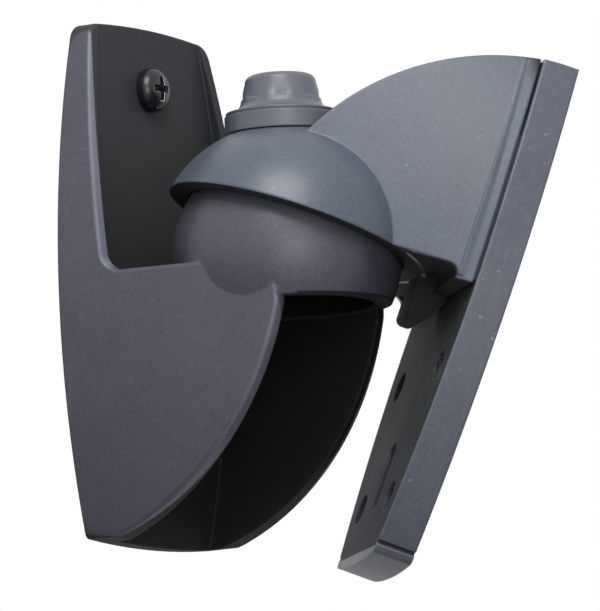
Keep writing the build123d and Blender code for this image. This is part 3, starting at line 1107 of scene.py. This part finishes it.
@dataclass
class Castings:
    """The wall casting, the swivel arm and the speaker plate, which keep their own shapes."""

    nodes: dict[str, bpy.types.Object]
    ball: Vector
    arm_axes: Axes

    def wall(self) -> CastPaint:
        """Mix the wall casting's paint, with shade painted near-black in its hollow, stronger towards the
        bottom and on the far side, and a painted highlight on its front rim faces.

        Returns:
            The paint.
        """
        shell = Shell(Axes(ORIGIN, FROM_WALL, UP), back=0.0, front=54.0 * MM,
                      back_half_width=30.5 * MM, front_half_width=20.4 * MM, bow=5.0 * MM, foot_bow=4.0 * MM,
                      half_height=CASTING_HALF_HEIGHT, skin=2.0 * MM, ball=self.ball, ball_low=24.0 * MM,
                      ball_high=26.0 * MM, ball_floor=-7.5 * MM, shade_offset=1.0 * MM)
        # The castings share one paint; the wall casting's colour is set darker as painted shade.
        return CastPaint("wall_paint", (0.088, 0.091, 0.116), shell, far_shade_share=0.8, fade_low=-10.0 * MM,
                         fade_high=50.0 * MM, rim_highlight=0.55)

    def arm(self) -> CastPaint:
        """Mix the swivel arm's paint, with shade painted near-black in the fan's hollow and under the dome.

        Returns:
            The paint.
        """
        shell = Shell(self.arm_axes, back=-14.0 * MM, front=36.0 * MM, back_half_width=12.5 * MM,
                      front_half_width=29.6 * MM, bow=4.5 * MM, foot_bow=4.5 * MM,
                      half_height=CASTING_HALF_HEIGHT, skin=1.8 * MM, ball=self.ball, ball_low=28.0 * MM,
                      ball_high=30.4 * MM, ball_floor=5.5 * MM, rim_rise=6.2 * MM, rim_reach=29.4 * MM)
        # The arm's colour is set lighter than the wall casting's as painted light.
        return CastPaint("arm_paint", (0.098, 0.115, 0.15), shell, roughness=0.36)

    def plate(self) -> CastPaint:
        """Mix the speaker plate's paint, streaked along the plate, with shade painted near-black on its broad
        faces, weaker towards the lower end, and edges lightened partly by abrasion and partly as painted
        highlight.

        Returns:
            The paint.
        """
        shell = Shell(self.arm_axes, back=0.0, front=36.0 * MM, back_half_width=30.5 * MM,
                      front_half_width=30.5 * MM, bow=7.0 * MM, foot_bow=11.0 * MM,
                      half_height=CASTING_HALF_HEIGHT, skin=1.3 * MM, ball=self.ball, end=55.8 * MM)
        # The plate's colour is set lighter than the wall casting's as painted light.
        return CastPaint("plate_paint", (0.118, 0.128, 0.162), shell, far_shade_share=0.78, fade_low=-5.0 * MM,
                         fade_high=-50.0 * MM, scratches=0.8, edge_light=0.9, nicks=0.7)

    def dress(self) -> None:
        """Give each casting its paint."""
        finishes = {"wall_bracket": self.wall(), "swivel_arm": self.arm(),
                    "speaker_plate": self.plate()}
        for name, finish in finishes.items():
            dress(self.nodes[name], finish.material())
            report(self.nodes[name])


@dataclass
class ClampStack:
    """The bolt, washers and nut inside the joint, and the slide washer under the knob."""

    nodes: dict[str, bpy.types.Object]
    steel: TurnedSteel = TurnedSteel("clamp_steel", (0.46, 0.46, 0.45), metallic=1.0, roughness=0.34)
    skirt: MouldedPlastic = MouldedPlastic("skirt_plastic", KNOB_COLOUR)

    def dress(self) -> None:
        """Give the steel pieces and the slide washer their finishes."""
        bright = self.steel.material()
        for name in ("ball_washer", "spring_washer", "clamp_bolt", "knob_nut"):
            dress(self.nodes[name], bright)
            report(self.nodes[name])
        dress(self.nodes["slide_washer"], self.skirt.material())
        report(self.nodes["slide_washer"])


@dataclass(frozen=True)
class Lamp:
    """A soft square lamp that hangs at a distance from the object and faces it."""

    name: str
    direction: tuple[float, float, float]
    distance: float
    size: float
    power: float

    def hang(self, target: Vector) -> None:
        """Hang the lamp.

        Args:
            target: What it faces.
        """
        light = bpy.data.lights.new(self.name, "AREA")
        light.shape = "SQUARE"
        light.size = self.size
        light.energy = self.power
        made = bpy.data.objects.new(self.name, light)
        made.visible_camera = False
        away = Vector(self.direction).normalized()
        made.location = target + away * self.distance
        made.rotation_euler = away.to_track_quat("Z", "Y").to_euler()
        bpy.context.scene.collection.objects.link(made)


@dataclass
class Studio:
    """The camera at the photograph's angle, the lamps, the pale floor and the white surround.

    Angles are in degrees, and the scale is in the photograph's pixels to a metre at the target.
    """

    target: Vector
    target_pixel: tuple[float, float] = (287.0, 258.0)
    azimuth: float = 34.0
    elevation: float = -7.6
    roll: float = 2.2
    focal_pixels: float = 6500.0
    scale: float = 4600.0
    sensor: float = 36.0
    lamps: tuple[Lamp, ...] = (
        Lamp("key", (0.34, -0.56, 0.76), distance=0.28, size=0.15, power=0.6),
        Lamp("front", (0.68, -0.73, 0.05), distance=0.4, size=0.2, power=0.47))
    ambient: float = 0.08
    floor_drop: float = 0.42
    floor_reach: float = 6.0
    floor_colour: Colour = (0.82, 0.82, 0.82)
    floor_white: float = 0.55

    def camera(self) -> None:
        """Stand the camera where the photograph was taken from."""
        turn, rise, roll = (math.radians(v) for v in (self.azimuth, self.elevation, self.roll))
        back = Vector((math.sin(turn) * math.cos(rise), -math.cos(turn) * math.cos(rise),
                       math.sin(rise)))
        level = Vector((math.cos(turn), math.sin(turn), 0.0))
        upright = back.cross(level)
        right = math.cos(roll) * level - math.sin(roll) * upright
        up = math.sin(roll) * level + math.cos(roll) * upright
        across = (self.target_pixel[0] - PHOTO_WIDTH / 2) / self.scale
        above = (PHOTO_HEIGHT / 2 - self.target_pixel[1]) / self.scale
        eye = self.target - across * right - above * up + back * (self.focal_pixels / self.scale)
        lens = bpy.data.cameras.new("camera")
        lens.sensor_width = self.sensor
        lens.lens = self.sensor * self.focal_pixels / PHOTO_HEIGHT
        lens.clip_start = 0.01
        lens.clip_end = 100.0
        made = bpy.data.objects.new("camera", lens)
        axes = Matrix((right, up, back)).transposed().to_4x4()
        made.matrix_world = Matrix.Translation(eye) @ axes
        bpy.context.scene.collection.objects.link(made)
        bpy.context.scene.camera = made

    def floor(self) -> None:
        """Lay the pale floor, which looks nearly as white as the surround."""
        shape = bmesh.new()
        bmesh.ops.create_grid(shape, x_segments=8, y_segments=8, size=self.floor_reach)
        mesh = mesh_of(shape, "floor")
        mesh.transform(Matrix.Translation((0.0, 0.0, -self.floor_drop)))
        made, graph = new_material("pale_floor")
        matt = graph.principled({
            "Base Color": rgba(self.floor_colour), "Roughness": 0.8, "Specular IOR Level": 0.2})
        glow = graph.node("ShaderNodeEmission", {}, {"Color": WHITE, "Strength": 1.0}).out("Emission")
        share = graph.seen() * self.floor_white
        graph.finish(graph.node("ShaderNodeMixShader", {}, {0: share, 1: matt, 2: glow}).out("Shader"))
        laid = add_object("floor", mesh)
        dress(laid, made)

    def surround(self) -> None:
        """Set a white surround that the camera and reflections see, over a plain grey light."""
        world = bpy.data.worlds.new("surround")
        world.use_nodes = True
        bpy.context.scene.world = world
        graph = Graph(world.node_tree)
        strength = self.ambient + graph.seen() * (1.0 - self.ambient)
        shader = graph.node("ShaderNodeBackground", {}, {"Color": WHITE, "Strength": strength})
        graph.node("ShaderNodeOutputWorld", {}, {"Surface": shader.out("Background")})

    def build(self) -> None:
        """Set up the camera, lamps, floor and surround."""
        self.camera()
        for lamp in self.lamps:
            lamp.hang(self.target)
        self.floor()
        self.surround()
        bpy.context.scene.view_settings.view_transform = "Standard"


def arm_directions(swivel: float, tilt: float) -> tuple[Vector, Vector]:
    """Work out the arm's forward and up directions.

    Args:
        swivel: Turn about the upright axis, in degrees.
        tilt: Dip of the arm, in degrees.

    Returns:
        Forward and up.
    """
    turn, tip = math.radians(swivel), math.radians(tilt)
    level = Vector((math.cos(turn), math.sin(turn), 0.0))
    return level * math.cos(tip) - UP * math.sin(tip), level * math.sin(tip) + UP * math.cos(tip)


def main() -> None:
    """Set up the studio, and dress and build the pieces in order."""
    logging.basicConfig(level=logging.INFO, format="%(name)s %(message)s")
    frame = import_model()
    nodes = frame["nodes"]
    ball = Vector(next(joint for joint in frame["joints"] if joint["name"] == "swivel")["pos_m"])
    arm_axes = Axes(ball, *arm_directions(ARM_SWIVEL, ARM_TILT))
    Studio(target=ball).build()
    Castings(nodes, ball, arm_axes).dress()
    ClampStack(nodes).dress()
    Screws(arm_axes).build()
    ClampKnob().build()


if __name__ == "__main__":
    main()
